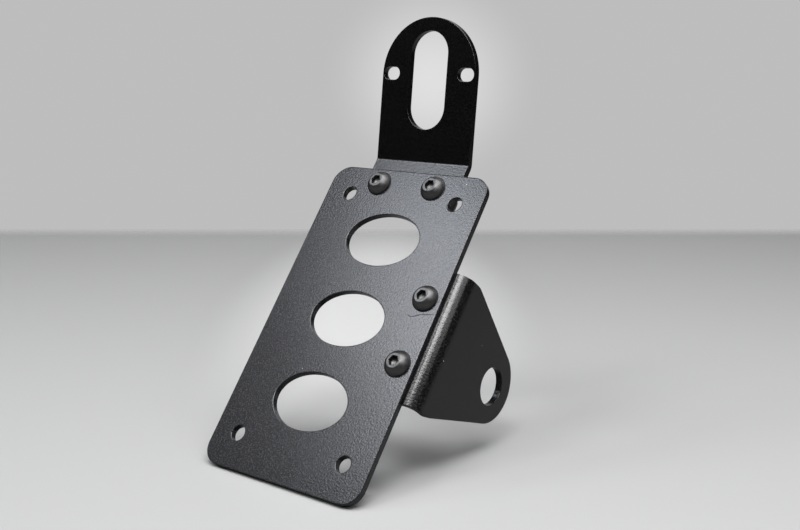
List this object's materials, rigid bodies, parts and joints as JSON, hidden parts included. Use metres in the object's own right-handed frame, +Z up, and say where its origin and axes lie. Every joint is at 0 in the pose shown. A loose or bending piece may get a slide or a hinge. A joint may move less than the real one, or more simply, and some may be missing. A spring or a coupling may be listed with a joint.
{
  "type": "side mount licence plate holder",
  "caption": "Flat plate carrier with oval openings, a tilted tail light bracket behind its top edge and a folded axle bracket behind its right edge.",
  "frame": {"origin": "centre of the axle hole, on the outer face of the axle bracket's tab", "axes": "+X out of the tab's outer face along the axle, +Y away from the plate's front face, +Z up along the long side of the plate towards the tail light bracket"},
  "size_m": [0.1084, 0.1141, 0.2537],
  "materials": {
    "powder_coat": "satin black powder coat over steel sheet",
    "black_screw": "black oxide",
    "black_fastener": "black zinc",
    "nylon": "natural nylon"
  },
  "bodies": {
    "root": {"plate_carrier": "powder_coat", "tail_light_bracket": "powder_coat", "axle_bracket": "powder_coat", "button_screw_1": "black_screw", "button_screw_2": "black_screw", "button_screw_3": "black_screw", "button_screw_4": "black_screw", "flat_washer_1": "black_fastener", "flat_washer_2": "black_fastener", "flat_washer_3": "black_fastener", "flat_washer_4": "black_fastener", "lock_nut_1": "black_fastener", "lock_nut_2": "black_fastener", "lock_nut_3": "black_fastener", "lock_nut_4": "black_fastener", "nylon_ring_1": "nylon", "nylon_ring_2": "nylon", "nylon_ring_3": "nylon", "nylon_ring_4": "nylon"}
  },
  "joints": []
}
